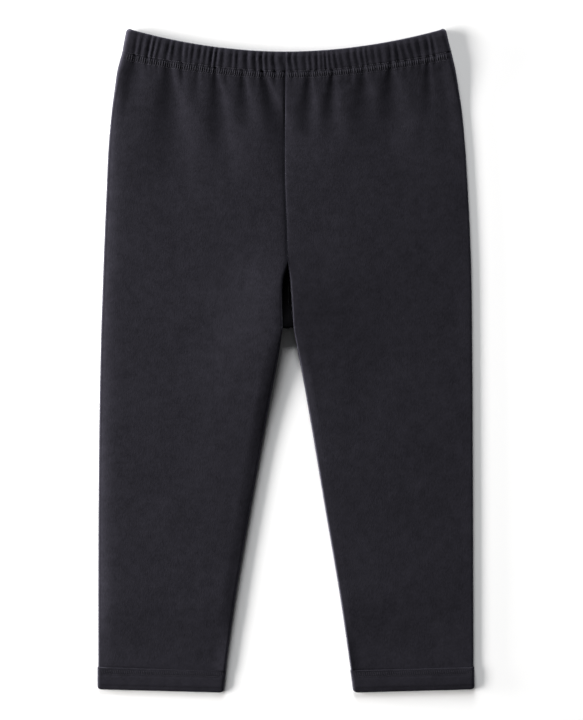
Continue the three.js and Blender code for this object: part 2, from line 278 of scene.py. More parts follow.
class SoftNoise:
    """Smooth random waves over a plane, the same each time for the same seed."""

    CELLS = 64
    SHIFT = 500

    def __init__(self, seed: int, size: float) -> None:
        """Draws the heights of a lattice that repeats.

        Args:
            seed: Picks the pattern.
            size: Spacing of the lattice, in mm.
        """
        self._lattice = np.random.default_rng(seed).uniform(-1, 1, (self.CELLS, self.CELLS))
        self._size = size

    def at(self, x: Number, y: Number) -> np.ndarray:
        """Reads the waves.

        Args:
            x: Places along X.
            y: Places along Y.

        Returns:
            Values from -1 to 1: the four lattice heights round each place, eased into each other.
        """
        gx, gy = x / self._size + self.SHIFT, y / self._size + self.SHIFT
        ix, iy = np.floor(gx).astype(int), np.floor(gy).astype(int)
        tx, ty = smooth(gx - ix), smooth(gy - iy)
        wrap = self.CELLS
        corner = [[self._lattice[(ix + a) % wrap, (iy + b) % wrap] for b in (0, 1)] for a in (0, 1)]
        return mix(mix(corner[0][0], corner[1][0], tx), mix(corner[0][1], corner[1][1], tx), ty)


SIDES = LevelTable(SIDE_FOLD)
INNERS = LevelTable(INNER_EDGE)
BROAD = SoftNoise(seed=3, size=34.0)
FINE = SoftNoise(seed=8, size=9.0)


@dataclass(frozen=True)
class FoldedEdge:
    """How the front of a leg comes down to a folded edge.

    The last stretch is a quarter of an ellipse from foot up to height. From there the cloth swells to
    the height of the middle over the pillow's width, at first steeply as bend rises.
    """

    reach: Number
    foot: Number
    height: Number
    pillow: float
    bend: float

    def drop(self, distance: np.ndarray, middle: np.ndarray) -> np.ndarray:
        """How far the front lies below the middle's height.

        Args:
            distance: Distance in from the edge.
            middle: Height of the middle of the leg.

        Returns:
            The gap to the quarter ellipse, plus what is left of the swell.
        """
        inside = np.clip(distance / self.reach, 0, 1)
        ellipse = np.sqrt(np.clip(1 - (1 - inside) ** 2, 0, 1))
        left = np.clip(1 - distance / self.pillow, 0, 1) ** self.bend
        return (self.height - self.foot) * (1 - ellipse) + (middle - self.height) * left


def gather_profile(x: np.ndarray, v: Number) -> np.ndarray:
    """Depth of the casing's gathers across the garment.

    Args:
        x: Places from the middle, at half the casing's height.
        v: Share of the way from the sewn line to the turned edge.

    Returns:
        The trough's depth at each trough, and nothing half way to the next. Between them it falls as
        the distance from the ridge's top raised to a power. One soft noise sways the troughs along the
        way, and another makes them deeper or shallower. Past the outermost troughs it fades out.
    """
    deeper = 1 + UNEVEN * FINE.at(x * 1.1 + 60, 9 * v)
    x = x + SWAY * FINE.at(x * 0.8, 14 * v)
    at = np.array([g.at for g in GATHERS])
    depth = np.array([g.depth for g in GATHERS])
    at = np.concatenate(([at[0] - FADE_OUT], at, [at[-1] + FADE_OUT]))
    depth = np.concatenate(([0.0], depth, [0.0]))
    i = np.clip(np.searchsorted(at, x) - 1, 0, len(at) - 2)
    t = np.clip((x - at[i]) / (at[i + 1] - at[i]), 0, 1)
    from_top = np.abs(2 * t - 1)
    near = np.where(t < 0.5, depth[i], depth[i + 1])
    inside = (x > at[0]) & (x < at[-1])
    return np.where(inside, near * deeper * from_top**RIDGE_POWER, 0.0)


def fold_depth(x: np.ndarray, fallen: np.ndarray) -> np.ndarray:
    """Depth of the folds below the casing.

    Args:
        x: Places from the middle.
        fallen: Distance below the stitch line.

    Returns:
        The sum of the folds. Each is a bell curve across, as deep as its width times its steepness.
        It fades along its length as what is left of the length raised to a power.
    """
    total = np.zeros(np.broadcast(x, fallen).shape)
    for fold in FOLDS:
        down = np.clip(fallen / fold.length, 0, 1)
        width = fold.start + fold.spread * np.clip(fallen, 0, fold.length)
        away = (x - fold.at - fold.drift * down) / width
        total += fold.steep * (1 - down) ** FOLD_POWER * width * bell(away)
    return total


@dataclass(frozen=True)
class Lie:
    """How a leg lies where the two differ.

    At the side fold the front has a lip above the fold's top, and the pillow and bend of FoldedEdge.
    The inner fold is low down the leg, and near the crotch it falls short of the crotch's full height.
    Run is how far down it stays tall, and its reach changes by gain where it is tall. Rise is the share
    of the crotch's height that the front keeps, and flatter is how far the leg is pressed down below
    it. Groove, hollow and hip_hollow are depths at the centre seam, and hem_dip is how far the cloth
    turns down to the hem.
    """

    side_lip: float
    side_pillow: float
    side_bend: float
    inner_low: float
    inner_short: float
    inner_run: float
    inner_reach: float
    inner_gain: float
    inner_pillow: float
    rise: float
    flatter: float
    groove: float
    hollow: float
    hip_hollow: float
    hem_dip: float


LIES = {
    Side.RIGHT: Lie(
        side_lip=0.0, side_pillow=22.0, side_bend=4.5, inner_low=4.9, inner_short=0.6, inner_run=46.0,
        inner_reach=1.5, inner_gain=-0.4, inner_pillow=9.5, rise=1.0, flatter=0.0, groove=1.5,
        hollow=0.40, hip_hollow=0.80, hem_dip=0.90,
    ),
    Side.LEFT: Lie(
        side_lip=0.3, side_pillow=85.0, side_bend=1.1, inner_low=5.0, inner_short=3.2, inner_run=24.0,
        inner_reach=1.0, inner_gain=0.3, inner_pillow=6.0, rise=0.5, flatter=0.8, groove=0.4,
        hollow=0.16, hip_hollow=0.32, hem_dip=0.45,
    ),
}


@dataclass(frozen=True)
class Leg:
    """One leg: a strip of cloth from its front edge over the side fold to its back edge.

    Levels are along Y at the centre of the garment, and distances across are from the middle line
    towards this side. The thigh is fullest a little above the crotch, where the four seams meet. The
    waves and dents are depths, and the pucker's fields say how strongly the casing's gathers run on
    below it, less a part that is taken off them, and the length over which they fade.
    """

    side: Side
    cloth: float = 1.3
    fold_radius: float = 1.5
    height: float = 6.4
    crotch: float = 21.6
    crotch_height: float = 11.8
    crotch_lift: float = 7.6
    fullest: float = 30.0
    valley_top: float = 64.0
    mid_hip: float = 108.0
    low_hip: float = 150.0
    ankle: float = -165.0
    fold_steps: int = 8
    front_steps: int = 132
    back_steps: int = 34
    stitch_inset: float = 0.4
    stitch_drop: float = 0.15
    broad_wave: float = 0.24
    fine_wave: float = 0.05
    first_dent: float = 0.24
    second_dent: float = 0.10
    pucker: float = 0.7
    pucker_less: float = 0.3
    pucker_fade: float = 3.2
    lowest_fold: float = 0.8
    inner_bend: float = 1.8

    @property
    def lie(self) -> Lie:
        """How this side lies."""
        return LIES[self.side]

    def radius(self, y: Number) -> Number:
        """Radius of the side fold, which grows over the low hip to half the stitch line's height."""
        up = smooth((y - self.low_hip) / (STITCH_LINE.centre - self.low_hip))
        return mix(self.fold_radius, STITCH_HEIGHT / 2, up)

    def body_height(self, y: Number) -> Number:
        """Height of the middle of the leg, fuller under the casing and pressed down above the hem."""
        fuller, pressed = smooth((y - 135) / 60), smooth((HEM_LINE.centre + 45 - y) / 40)
        return self.height + (STITCH_HEIGHT - self.height) * fuller - (self.height - HEM_HEIGHT) * pressed

    def lift(self, across: Number, y: Number) -> Number:
        """How far the back stands off the table: a bell curve both ways, highest at the crotch."""
        return self.crotch_lift * bell((y - self.crotch) / 10) * bell(across / 9)

    def outer_level(self, y: Number) -> Number:
        """Level at the side fold of the row of cloth that is at a level at the centre.

        Args:
            y: Level at the centre.

        Returns:
            y plus the rise of the waist, which is used up by mid hip, or of the hem near the ankle.
        """
        waist = smooth((y - self.mid_hip) / (STITCH_LINE.centre - self.mid_hip))
        hem = smooth((self.ankle - y) / (self.ankle - HEM_LINE.centre))
        rise = (STITCH_LINE.side - STITCH_LINE.centre) * waist
        return y + rise + (HEM_LINE.side - HEM_LINE.centre) * hem

    def outer_edge(self, y: Number) -> FoldedEdge:
        """The form of the side fold: a short steep swell on the right, and a long flat one on the left."""
        radius, lie = self.radius(y), self.lie
        return FoldedEdge(radius, radius, 2 * radius + lie.side_lip, lie.side_pillow, lie.side_bend)

    def inner_edge(self, y: Number) -> FoldedEdge:
        """The form of the fold along the inside of the leg.

        Args:
            y: Level.

        Returns:
            A low fold down the leg that gets tall at the fullest thigh by a bell curve, and keeps its
            lowest height above its foot. The two heights are joined by half the sum of both and the
            root of their difference squared plus 0.6. The foot is the cloth's edge above the crotch
            and the fold's radius below it, lifted with the back.
        """
        near = bell((y - self.fullest) / np.where(y > self.fullest, 40.0, self.lie.inner_run))
        foot = np.where(y >= self.crotch, self.cloth + 0.15, self.fold_radius + SEAM_GAP / 2)
        foot = foot + self.lift(INNERS.at(self.side.word, y), y)
        height = mix(self.lie.inner_low, self.crotch_height - self.lie.inner_short, near)
        lowest = foot + self.lowest_fold
        height = (height + lowest + np.sqrt((height - lowest) ** 2 + 0.6)) / 2
        reach = self.lie.inner_reach + self.lie.inner_gain * near
        return FoldedEdge(reach, foot, height, self.lie.inner_pillow, self.inner_bend)

    def edges(self, y: Number) -> tuple[Number, Number, Number]:
        """Edges of the strip at a level.

        Args:
            y: Level.

        Returns:
            The front inner edge, the back inner edge and the side fold. Above the crotch the back ends
            at the centre seam, and the front does too down to where the fronts part.
        """
        seam = self.side.value * INNERS.at("seam", y) + SEAM_GAP / 2
        inner = INNERS.at(self.side.word, y)
        front = np.where(y > self.valley_top, seam, np.maximum(inner, seam))
        back = np.where(y >= self.crotch, seam, inner)
        return front, back, SIDES.at(self.side.word, self.outer_level(y))

    def parted(self, y: Number) -> Number:
        """How far the fronts have parted: 0 at the valley's top, and 1 above the crotch and below."""
        return smooth((self.valley_top + 5 - y) / 24)

    def joined(self, y: Number) -> Number:
        """How far the back has turned in at the inseam: 0 down to the crotch, and 1 from 10 mm below."""
        return smooth((self.crotch - 0.8 - y) / 10)

    def place(self, across: Number, y: Number, z: Number) -> np.ndarray:
        """Points in the garment's frame.

        Args:
            across: Distance from the middle.
            y: Level of the row.
            z: Height.

        Returns:
            The points. A row bows from its level at the centre to its level at the side fold, as the
            share of the way across raised to a power that goes from the waist's bow to 1 at mid hip.
        """
        front, _, fold = self.edges(y)
        bow = mix(1.0, STITCH_LINE.bow, smooth((y - 100) / 60))
        share = np.clip((across - front) / (fold - front), 0, 1)
        level = mix(y, self.outer_level(y), share**bow)
        return np.stack(np.broadcast_arrays(self.side.value * across, level, z), axis=-1)

    def front_height(self, across: np.ndarray, y: np.ndarray) -> np.ndarray:
        """Height of the front of the leg.

        Args:
            across: Distance from the middle.
            y: Level of the row.

        Returns:
            The middle's height less the drop at each edge, the seam's groove, the gathers and folds
            below the casing, the dents of the needle rows and the turn down to the hem, plus slow waves
            of a few tenths of a millimetre. The middle rises to the crotch by a bell curve both ways.
        """
        front, _, fold = self.edges(y)
        parted, lie = self.parted(y), self.lie
        from_inner, from_side = across - front, fold - across
        rise = (self.crotch_height - self.height) * lie.rise
        near_crotch = bell((y - self.fullest) / np.where(y > self.fullest, 32.0, 58.0))
        near_crotch = near_crotch * bell(from_inner / 31)
        pressed = lie.flatter * smooth((75 - y) / 60) * smooth((y - HEM_LINE.centre) / 40)
        middle = self.body_height(y) + rise * near_crotch - pressed
        height = middle - self.outer_edge(y).drop(from_side, middle)
        height = height - parted * self.inner_edge(y).drop(from_inner, middle)
        height = height - (1 - parted) * self._seam(from_inner, y)
        away = smooth((from_side - 2) / 8) * mix(1.0, smooth((from_inner - 1.0) / 3), parted)
        x, fallen = self.side.value * across, STITCH_LINE.centre - y
        waves = self.broad_wave * BROAD.at(x, y) + self.fine_wave * FINE.at(x, y) * smooth((fallen - 10) / 20)
        height = height - away * (self._pucker(x, fallen) + fold_depth(x, fallen) - waves)
        needles = self.first_dent * bell((fallen - 0.3) / 0.7) + self.second_dent * bell((fallen - 4.4) / 0.8)
        from_light = from_side if self.side is Side.RIGHT else from_inner
        lit = 1 - smooth(1.3 * from_light / (fold - front))
        hem_dip = lie.hem_dip * lit * np.exp(-np.clip(y - HEM_LINE.centre, 0, None) / 0.5)
        return height - needles - hem_dip

    def _pucker(self, x: np.ndarray, fallen: np.ndarray) -> np.ndarray:
        """How far the cloth is drawn down below the casing.

        Args:
            x: Places from the middle.
            fallen: Distance below the stitch line.

        Returns:
            The casing's gathers, which fade by a factor of e over each length of the fade, plus a dip
            that gets deeper past the second needle row and is used up 60 mm down.
        """
        gathers = self.pucker * (gather_profile(x / TO_STITCH_LINE, 0.0) - self.pucker_less)
        gathers = gathers * np.exp(-np.clip(fallen - 1.5, 0, None) / self.pucker_fade)
        sunk = 0.21 + 0.30 * smooth((fallen - 2.4) / 2.4) + 0.52 * smooth((fallen - 4) / 8)
        return gathers + sunk * (1 - smooth((fallen - 15) / 45))

    def _seam(self, from_seam: np.ndarray, y: np.ndarray) -> np.ndarray:
        """Depth of the front beside the centre seam.

        Args:
            from_seam: Distance from the seam.
            y: Level.

        Returns:
            A groove that fades by a factor of e each 0.5 mm, plus a soft hollow that fades each 2.2 mm,
            and is wider and deeper at hip height.
        """
        hip = smooth((178 - y) / 25) * smooth((y - 85) / 50)
        hollow = (self.lie.hollow + self.lie.hip_hollow * hip) * np.exp(-from_seam / (2.2 + 2.2 * hip))
        return self.lie.groove * np.exp(-from_seam / 0.5) + hollow

    def rows(self) -> np.ndarray:
        """Levels of the rows of the mesh, closer together under the casing, at the crotch and the hem.

        Returns:
            Levels from the stitch line down to the hem line, with two rows at the crotch.
        """
        hem = HEM_LINE.centre
        top = np.arange(STITCH_LINE.centre, self.low_hip, -0.75)
        hip = np.arange(self.low_hip, 70, -1.6)
        crotch = np.arange(70, self.crotch + 0.5, -1.1)
        step = np.array([self.crotch, self.crotch - 0.02])
        fork = np.arange(self.crotch - 1.0, -10, -1.2)
        leg = np.arange(-10, hem + 6, -2.7)
        end = np.arange(hem + 6, hem + 0.2, -0.5)
        last = np.array([hem + 0.04, hem])
        return np.concatenate((top, hip, crotch, step, fork, leg, end, last))

    def outside(self) -> np.ndarray:
        """The outer face of the cloth as a grid of points.

        Returns:
            Rows from the waist to the hem, and columns from the front edge over the side fold to the
            back edge. The folds are quarter circles. The back lies flat on the table, but for the lift
            at the crotch and a shallow channel that the waist's stitches lie in.
        """
        y = self.rows()[:, None]
        front, back, fold = self.edges(y)
        quarter = np.linspace(0, math.pi / 2, self.fold_steps)[None, :]
        r, reach = self.radius(y), self.inner_edge(y).reach
        inner = front + reach * (1 - np.cos(quarter))
        middle = mix(front + reach, fold - r, np.linspace(0, 1, self.front_steps)[None, 1:-1])
        across = np.concatenate((inner, middle, fold - r), axis=1)
        z = self.front_height(across, y)
        rim = z[:, -1:]
        down, under = quarter[:, 1:], quarter[:, 1:-1]
        upper = (fold - r + r * np.sin(down), r + (rim - r) * np.cos(down))
        lower = (fold - r + r * np.cos(under), r - r * np.sin(under) + 0 * y)
        flat = mix(fold - r, back + r, np.linspace(0, 1, self.back_steps)[None, :])
        last = np.arange(down.size) == down.size - 1
        turned = self.joined(y) * np.maximum(r * (1 - np.cos(down)) - last * SEAM_GAP / 2, 0)
        behind = np.concatenate((flat, back + r - r * np.sin(down)), axis=1)
        fallen = STITCH_LINE.centre - y
        channel = BACK_CHANNEL * (smooth((fallen + 0.5) / 0.6) - smooth((fallen - 5) / 1.5))
        off_table = np.concatenate((0 * flat, turned), axis=1) + channel + self.lift(behind, y)
        x = np.concatenate((across, upper[0], lower[0], behind), axis=1)
        heights = np.concatenate((z, upper[1], lower[1], off_table), axis=1)
        return self.place(x, y, heights)

    def inside(self, outside: np.ndarray) -> np.ndarray:
        """The inner face of the cloth.

        Args:
            outside: The outer face.

        Returns:
            The outer face moved in by the cloth's thickness along its normals, which at the two cut
            edges go from square to the table in the rise to level at the inseam.
        """
        inside = outside + self.side.value * self.cloth * normals(outside)
        y = self.rows()
        for column, turn, up in ((0, self.parted(y), -1), (-1, self.joined(y), 1)):
            angle = (1 - turn) * math.pi / 2 * up
            inside[:, column, 0] = outside[:, column, 0] + self.side.value * self.cloth * np.cos(angle)
            inside[:, column, 1] = outside[:, column, 1]
            inside[:, column, 2] = outside[:, column, 2] + self.cloth * np.sin(angle)
        return inside

    def piece(self, face: bpy.types.Material, shaded_wrong_side: bpy.types.Material) -> bpy.types.Object:
        """Builds the leg's cloth wall, with the wrong side's near-black painted shade on its inner face."""
        outside = self.outside()
        return shell_mesh(f"leg_cloth_{self.side.word}", outside, self.inside(outside), (face, shaded_wrong_side))

    @property
    def stitch_start(self) -> float:
        """Distance from the middle at which the waist's stitches start."""
        return float(self.edges(np.array(STITCH_LINE.centre))[0]) + self.stitch_inset

    @property
    def stitch_length(self) -> float:
        """Length of the waist's stitches, from beside the centre seam to the start of the side fold."""
        fold = float(self.edges(np.array(STITCH_LINE.centre))[2])
        return fold - float(self.radius(STITCH_LINE.centre)) - self.stitch_start

    def stitch_front(self, s: np.ndarray, w: np.ndarray) -> np.ndarray:
        """Points of the front, s along the waist's stitches and w below them."""
        across, y = self.stitch_start + s, STITCH_LINE.centre - self.stitch_drop - w
        return self.place(across, y, self.front_height(across, y))

    def stitch_back(self, s: np.ndarray, w: np.ndarray) -> np.ndarray:
        """Points of the back's channel, s along the waist's stitches and w below them."""
        y = STITCH_LINE.centre - self.stitch_drop - w
        return self.place(self.stitch_start + s, y, np.full(y.shape, BACK_THREAD))


def normals(grid: np.ndarray) -> np.ndarray:
    """Unit normals of a grid of points.

    Args:
        grid: Points by row and column.

    Returns:
        The cross product of the step along the columns and the step along the rows, made unit.
    """
    cross = np.cross(np.gradient(grid, axis=1), np.gradient(grid, axis=0))
    return cross / np.maximum(np.linalg.norm(cross, axis=-1, keepdims=True), 1e-9)


@dataclass(frozen=True)
class Band:
    """A turned, doubled band of cloth round an opening.

    Its profile runs from the sewn line to the turned edge on the outside and back on the inside. Share
    v is the way from the sewn line to the turned edge. The pinches thin the band towards the line and
    the edge, corner is the radius of its rounded corners, and front_drop is how much lower the front's
    turned edge lies than the back's.
    """

    line: EdgeLine
    edge: EdgeLine
    wall: float
    height: float
    spacing: float
    line_pinch: float
    edge_pinch: float
    corner: float
    first_step: float
    front_drop: float

    @property
    def depth(self) -> float:
        """Distance from the sewn line to the turned edge at the centre."""
        return abs(self.edge.centre - self.line.centre)

    def kept(self, v: Number) -> Number:
        """How much of the band's thickness and height is left past its pinches at the line and the edge."""
        return 1.0 - self.line_pinch * (1 - smooth(v / 0.75)) - self.edge_pinch * smooth((v - 0.72) / 0.26)

    def rounded(self, v: Number) -> Number:
        """How far the ends have turned in: a quarter circle over the last 0.15 of the way."""
        last = np.clip((np.asarray(v) - 0.85) / 0.15, 0, 1)
        return self.corner * (1 - np.sqrt(1 - last * last))

    def ends(self, v: Number) -> tuple[Number, Number]:
        """The lower and the higher X of the band's two side folds."""
        raise NotImplementedError

    def share(self, x: np.ndarray, v: Number) -> np.ndarray:
        """Share of the way from the centre of the garment to the side fold."""
        raise NotImplementedError

    def front_relief(self, x: np.ndarray, v: Number) -> np.ndarray:
        """Depth of the front's form below its flat face."""
        raise NotImplementedError

    def back_relief(self, x: np.ndarray, v: Number) -> np.ndarray:
        """Depth of the back's form below its flat face."""
        raise NotImplementedError

    def level(self, x: np.ndarray, v: Number) -> np.ndarray:
        """Level along Y of a point of the band, between its two bowed lines."""
        share = np.clip(self.share(x, v), 0, 1)
        return mix(self.line.at(share), self.edge.at(share), v)

    def profile(self) -> np.ndarray:
        """Steps round the doubled wall, from the sewn line over the turned edge and back inside.

        Returns:
            For each step: the share of the way to the turned edge, the depth into the wall as a share
            of its thickness, and how much of the outer relief is left. The turned edge is half a circle
            as wide as the wall. Where there is a first step, the steps start there, after one at the
            sewn line, so that the light on the sewn edge stays a thin line.
        """
        bend = self.wall / 2 / self.depth
        up = [(v, 0.0, 1.0) for v in np.linspace(self.first_step, 1 - bend, 22)]
        if self.first_step:
            up.insert(0, (0.0, 0.0, 1.0))
        turn = []
        for angle in np.linspace(0, math.pi, 11)[1:-1]:
            into = (1 - math.cos(angle)) / 2
            turn.append((1 - bend + bend * math.sin(angle), into, 1 - into))
        down = [(v, 1.0, 0.0) for v in np.linspace(1 - bend, 0, 7)]
        return np.array(up + turn + down + [(0.0, 0.5, 0.5)])

    def row(self, v: float, depth: float, left: float) -> np.ndarray:
        """Points round the opening at one step of the profile.

        Args:
            v: Share of the way to the turned edge.
            depth: Depth into the wall as a share of its thickness.
            left: How much of the outer relief is left.

        Returns:
            Points along the front, round the side fold as half a circle, along the back and round the
            other fold. Each is moved inwards by its depth into the wall and by the relief, which eases
            to nothing at the folds.
        """
        r = self.height / 2 * self.kept(v)
        low, high = self.ends(v)
        start, end, spread = low + r, high - r, high - low - 2 * r
        count = int(round(spread / self.spacing))
        front = start + spread * np.linspace(0, 1, count + 1)
        back = end - spread * np.linspace(0, 1, count // 3 + 1)
        arc = np.linspace(0, math.pi, 17)[1:-1]
        x = np.concatenate((front, end + r * np.sin(arc), back, start - r * np.sin(arc)))
        out_x = np.concatenate((0 * front, np.sin(arc), 0 * back, -np.sin(arc)))
        out_z = np.concatenate((np.ones(len(front)), np.cos(arc), -np.ones(len(back)), -np.cos(arc)))
        ease = smooth((x - start) / 3) * smooth((end - x) / 3)
        relief = np.where(out_z > 0, self.front_relief(x, v), self.back_relief(x, v))
        drop = self.front_drop * smooth((out_z + 0.2) / 0.8) * smooth(v / 0.8)
        inward = depth * self.wall * self.kept(v) + left * ease * relief
        points = (x - out_x * inward, self.level(x, v) - drop, r + (r - inward) * out_z)
        return np.stack(points, axis=-1)

    def grid(self) -> np.ndarray:
        """The band's whole surface, as a grid that closes on itself both ways.

        Returns:
            Rows follow the profile, and columns go round the opening. Each row has as many points as
            the first: a longer or shorter one is read again at evenly spaced places.
        """
        rows = [self.row(*step) for step in self.profile()]
        place = np.linspace(0, 1, len(rows[0]))
        for number, row in enumerate(rows):
            if len(row) != len(place):
                own = np.linspace(0, 1, len(row))
                rows[number] = np.stack([np.interp(place, own, values) for values in row.T], axis=-1)
        return np.array(rows)

    def piece(self, name: str, material: bpy.types.Material) -> bpy.types.Object:
        """Builds the band's closed wall.

        Args:
            name: The piece's name.
            material: Its material.

        Returns:
            The object.
        """
        grid = self.grid()
        points = grid.reshape(-1, 3)
        faces = outward(points, grid_faces(*grid.shape[:2], True, True))
        return make_mesh(name, points, faces, [material])


@dataclass(frozen=True)
class Casing(Band):
    """The waist casing, gathered on its elastic."""

    groove: float = 0.45
    needle_dent: float = 0.24
    needle_scale: float = 13.4
    swell: float = 0.25
    back_gather: float = 0.45

    def ends(self, v: Number) -> tuple[Number, Number]:
        """The lower and the higher X of the casing's two side folds."""
        y, corner = mix(self.line.side, self.edge.side, v), self.rounded(v)
        return corner - SIDES.at("right", y), SIDES.at("left", y) - corner

    def share(self, x: np.ndarray, v: Number) -> np.ndarray:
        """Share of the way from the centre seam to the side fold."""
        (low, high), seam = self.ends(v), INNERS.at("seam", self.line.centre)
        return np.where(x < seam, (x - seam) / (low - seam), (x - seam) / (high - seam))

    @staticmethod
    def fade(v: Number) -> Number:
        """Strength of the gathers, which are deepest at a third of the way and shallow at the edge."""
        return 0.70 + 0.20 * smooth(v / 0.3) - 0.50 * smooth((v - 0.6) / 0.4)

    def front_relief(self, x: np.ndarray, v: Number) -> np.ndarray:
        """Depth of the front's form.

        Args:
            x: Its place across.
            v: Share of the way to the turned edge.

        Returns:
            The gathers, in step with the width at half height, plus a broad swell, the dent of the
            needle row and the centre seam's groove, which are a noise and two bell curves.
        """
        (low, high), (mid_low, mid_high) = self.ends(v), self.ends(0.5)
        width = (high - low) / (mid_high - mid_low)
        needle = self.needle_dent * bell((v * self.needle_scale + 0.3) / 0.7)
        swell = self.swell * BROAD.at(x * 3, 20 * v) * smooth(v / 0.3)
        centre = self.groove * bell((x - INNERS.at("seam", self.line.centre)) / 0.5)
        return self.fade(v) * gather_profile(x / width, v) + swell + centre + needle

    def back_relief(self, x: np.ndarray, v: Number) -> np.ndarray:
        """Depth of the back's gathers, 4 mm apart: what a swaying sine's size lacks from 1, squared."""
        beat = np.abs(np.sin(x * 0.78 + 1.3 * np.sin(x * 0.13) + 0.2 * FINE.at(x * 0.8, 14 * v)))
        return self.back_gather * self.fade(v) * (1 - beat) ** 2


@dataclass(frozen=True)
class Hem(Band):
    """The ankle hem of one leg."""

    side: Side
    inset: float = 0.1
    outset: float = 0.5
    stitch_drop: float = 0.35
    lit_ridge: float = 0.14
    far_dent: float = 0.12
    second_dent: float = 0.18
    fine_wave: float = 0.05

    def ends(self, v: Number) -> tuple[Number, Number]:
        """The lower and the higher X of the hem's two side folds.

        Args:
            v: Share of the way to the turned edge.

        Returns:
            The leg's two edges, a little further out on both sides, less the rounded corners.
        """
        y, corner = mix(self.line.side, self.edge.side, v), self.rounded(v)
        inner = self.side.value * (INNERS.at(self.side.word, y) - self.inset)
        outer = self.side.value * (SIDES.at(self.side.word, y) + self.outset)
        return np.minimum(inner, outer) + corner, np.maximum(inner, outer) - corner

    def share(self, x: np.ndarray, v: Number) -> np.ndarray:
        """Share of the way from the inner edge to the side fold."""
        inner, outer = self.ends(v)[:: self.side.value]
        return (x - inner) / (outer - inner)

    def front_relief(self, x: np.ndarray, v: Number) -> np.ndarray:
        """Depth of the front's form.

        Args:
            x: Its place across.
            v: Share of the way to the turned edge.

        Returns:
            A bell curve at the needle row, which stands out towards the light and is a dent away from
            it, another at the second row, and a fine noise.
        """
        low, high = self.ends(v)
        needle = mix(-self.lit_ridge, self.far_dent, smooth(1.3 * (x - low) / (high - low)))
        second = self.second_dent * bell((v * self.depth - STITCH_GAUGE) / 0.8)
        return needle * bell(v * self.depth / 0.8) + second - self.fine_wave * FINE.at(x * 1.6, v * 10)

    def back_relief(self, x: np.ndarray, v: Number) -> np.ndarray:
        """Depth of the back's channel, which the stitches lie in."""
        return BACK_CHANNEL * (1 - smooth((v * self.depth - STITCH_GAUGE) / 1.5)) + 0 * x

    @property
    def stitch_start(self) -> float:
        """The X at which the hem's stitches start, past the first side fold."""
        return float(self.ends(0.0)[0]) + self.height / 2

    @property
    def stitch_length(self) -> float:
        """Length of the hem's stitches, between the two side folds."""
        return float(self.ends(0.0)[1]) - self.height / 2 - self.stitch_start

    def _stitched(self, s: np.ndarray, w: np.ndarray) -> tuple[np.ndarray, np.ndarray]:
        """Place across and share of the way to the edge, s along the stitches and w below them."""
        return self.stitch_start + s + 0 * w, (w + self.stitch_drop) / self.depth + 0 * s

    def stitch_front(self, s: np.ndarray, w: np.ndarray) -> np.ndarray:
        """Points of the front, s along the hem's stitches and w below them."""
        x, v = self._stitched(s, w)
        return np.stack((x, self.level(x, v), self.height * self.kept(v) - self.front_relief(x, v)), axis=-1)

    def stitch_back(self, s: np.ndarray, w: np.ndarray) -> np.ndarray:
        """Points of the back's channel, s along the hem's stitches and w below them."""
        x, v = self._stitched(s, w)
        return np.stack((x, self.level(x, v), np.full(x.shape, BACK_THREAD)), axis=-1)


def grid_faces(rows: int, columns: int, wrap_rows: bool, wrap_columns: bool) -> np.ndarray:
    """Four-sided faces of a grid of points that are numbered row by row.

    Args:
        rows: Number of rows.
        columns: Number of columns.
        wrap_rows: Whether the last row joins the first.
        wrap_columns: Whether the last column joins the first.

    Returns:
        One line of four point numbers for each face.
    """
    r = np.arange(rows if wrap_rows else rows - 1)[:, None]
    c = np.arange(columns if wrap_columns else columns - 1)[None, :]
    r2, c2 = (r + 1) % rows, (c + 1) % columns
    corners = np.broadcast_arrays(r * columns + c, r * columns + c2, r2 * columns + c2, r2 * columns + c)
    return np.stack(corners, axis=-1).reshape(-1, 4)


def make_mesh(
    name: str,
    points: np.ndarray,
    faces: np.ndarray,
    materials: Sequence[bpy.types.Material],
    material_index: np.ndarray | None = None,
) -> bpy.types.Object:
    """Makes a smooth mesh object from points in millimetres.

    Args:
        name: The object's name.
        points: One line of x, y, z for each point.
        faces: One line of four point numbers for each face.
        materials: The object's materials.
        material_index: Which of them each face has.

    Returns:
        The object, linked to the scene.
    """
    mesh = bpy.data.meshes.new(name)
    mesh.vertices.add(len(points))
    mesh.vertices.foreach_set("co", (points * MM).astype(np.float32).ravel())
    mesh.loops.add(faces.size)
    mesh.loops.foreach_set("vertex_index", faces.astype(np.int32).ravel())
    mesh.polygons.add(len(faces))
    mesh.polygons.foreach_set("loop_start", np.arange(0, faces.size, faces.shape[1], dtype=np.int32))
    mesh.polygons.foreach_set("loop_total", np.full(len(faces), faces.shape[1], dtype=np.int32))
    mesh.polygons.foreach_set("use_smooth", np.ones(len(faces), dtype=bool))
    for material in materials:
        mesh.materials.append(material)
    if material_index is not None:
        mesh.polygons.foreach_set("material_index", material_index.astype(np.int32))
    mesh.update(calc_edges=True)
    mesh.validate()
    obj = bpy.data.objects.new(name, mesh)
    bpy.context.scene.collection.objects.link(obj)
    return obj


def outward(points: np.ndarray, faces: np.ndarray) -> np.ndarray:
    """Turns the faces of a closed mesh outwards.

    Args:
        points: The mesh's points.
        faces: Its four-sided faces.

    Returns:
        The faces, reversed if the volume inside is negative. The volume is a sixth of the sum of the
        triple products of the faces' two triangles.
    """
    a, b, c, d = (points[faces[:, k]] for k in range(4))
    triple = np.einsum("ij,ij->i", a, np.cross(b, c) + np.cross(c, d))
    return faces if triple.sum() > 0 else faces[:, ::-1]


